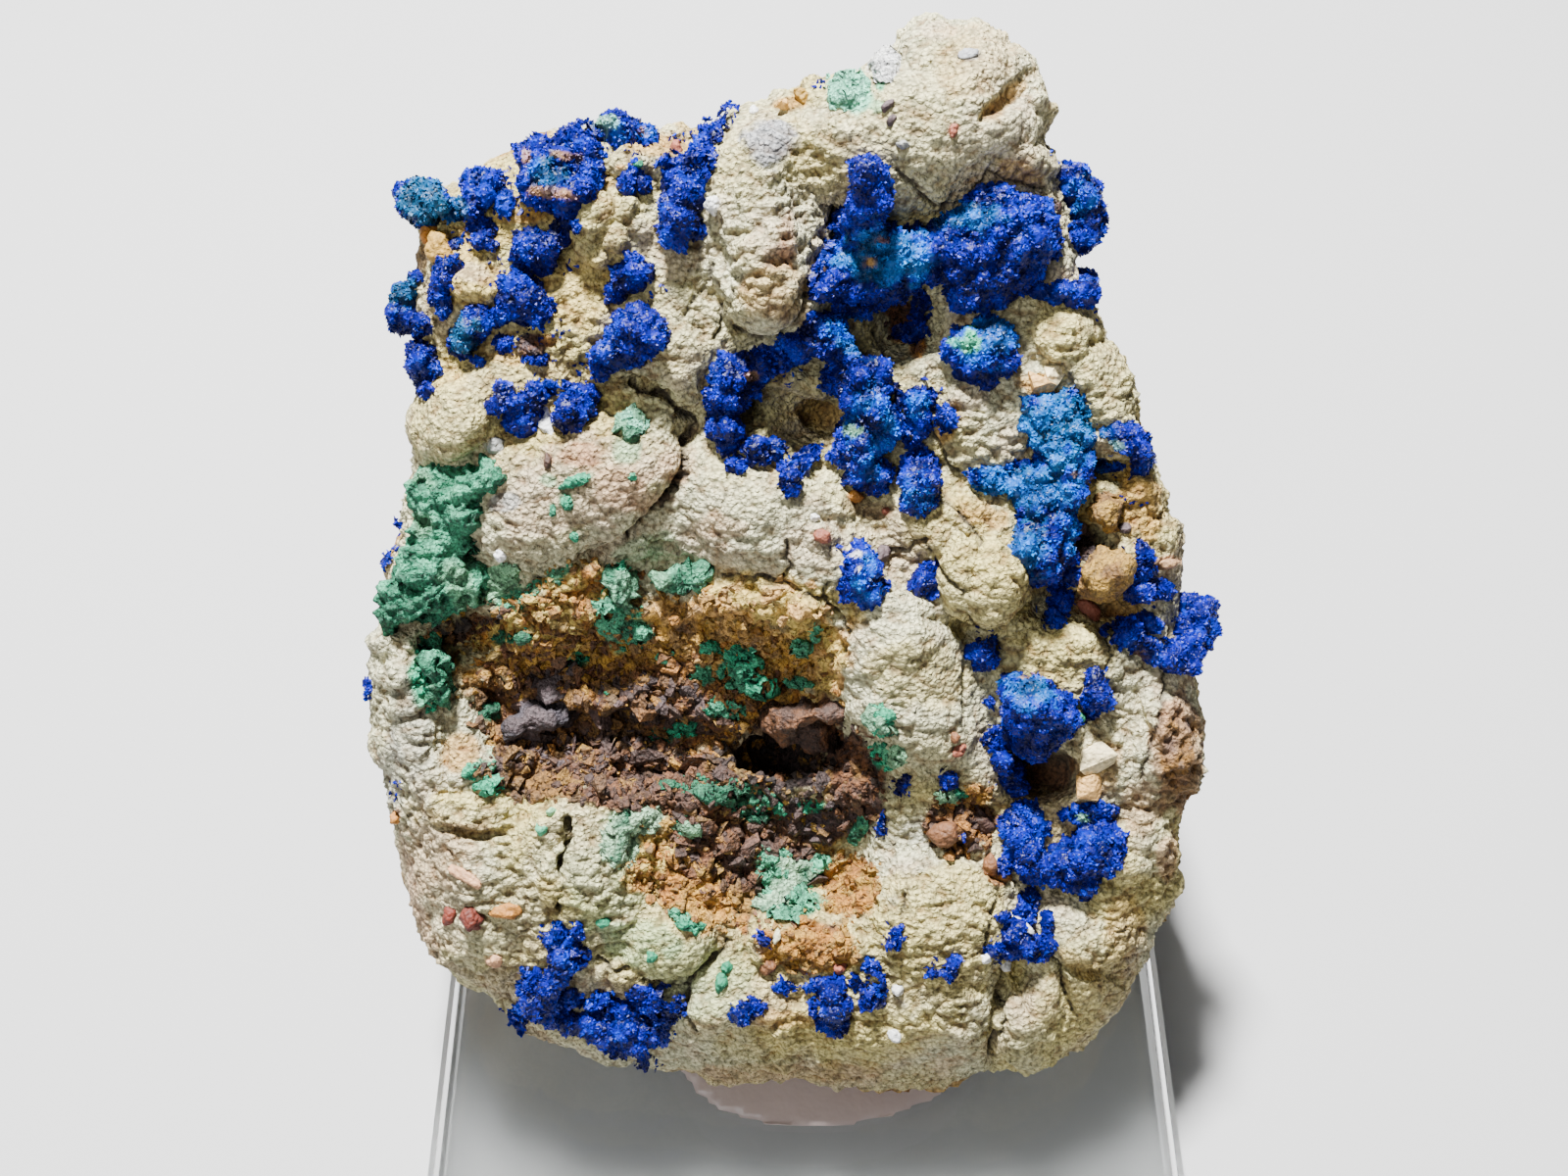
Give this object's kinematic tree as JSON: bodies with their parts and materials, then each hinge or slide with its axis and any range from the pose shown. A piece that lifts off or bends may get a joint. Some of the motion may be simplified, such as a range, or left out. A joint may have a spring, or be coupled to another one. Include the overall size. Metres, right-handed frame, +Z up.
{
  "type": "azurite specimen",
  "caption": "Azurite crystal crusts and green malachite on a clay and limonite matrix, standing on a clear square display base.",
  "frame": {"origin": "centre of the display base's underside", "axes": "+Z up, -Y out of the base's front edge: the crystal-covered face leans back and looks up and towards -Y, +X to the viewer's right"},
  "size_m": [0.0817, 0.0854, 0.089],
  "materials": {
    "matrix": "chalky clay with fine bumps",
    "azurite": "glassy, in tiny blades",
    "malachite": "dull, knobbly",
    "limonite": "earthy",
    "goethite": "dull to faintly shiny",
    "acrylic": "clear, polished",
    "adhesive": "translucent, waxy"
  },
  "bodies": {
    "root": {"adhesive_pad": "adhesive", "azurite_bar": "azurite", "azurite_bead_centre": "azurite", "azurite_bead_upper": "azurite", "azurite_brow_right": "azurite", "azurite_button": "azurite", "azurite_chain_left": "azurite", "azurite_chip": "azurite", "azurite_cloud_lower": "azurite", "azurite_column": "azurite", "azurite_crest_upper_left": "azurite", "azurite_curtain": "azurite", "azurite_cushion": "azurite", "azurite_drip_lower": "azurite", "azurite_drop_left": "azurite", "azurite_drop_right": "azurite", "azurite_foot": "azurite", "azurite_knob_upper_left": "azurite", "azurite_leaf": "azurite", "azurite_mat_lower": "azurite", "azurite_mat_upper_left": "azurite", "azurite_pair": "azurite", "azurite_patch_left": "azurite", "azurite_patch_right": "azurite", "azurite_ridge": "azurite", "azurite_rim_left_lower": "azurite", "azurite_rim_left_upper": "azurite", "azurite_rim_right": "azurite", "azurite_rim_right_lower": "azurite", "azurite_rim_right_upper": "azurite", "azurite_rim_upper_left": "azurite", "azurite_ring": "azurite", "azurite_rose": "azurite", "azurite_rosette_green": "azurite", "azurite_shade_right": "azurite", "azurite_spark": "azurite", "azurite_speck_shoulder": "azurite", "azurite_star_lower": "azurite", "azurite_tongue_left": "azurite", "azurite_tuft_shoulder": "azurite", "azurite_under_rose": "azurite", "azurite_wedge": "azurite", "display_base": "acrylic", "goethite_block": "goethite", "goethite_rod": "goethite", "limonite_nugget_lower": "limonite", "limonite_nugget_upper": "limonite", "malachite_bead_pair": "malachite", "malachite_bead_right": "malachite", "malachite_column_left": "malachite", "malachite_crust_upper": "malachite", "malachite_curl": "malachite", "malachite_flake": "malachite", "malachite_flat_lower": "malachite", "malachite_patch_lower": "malachite", "malachite_tongue": "malachite", "matrix": "matrix"}
  },
  "joints": []
}
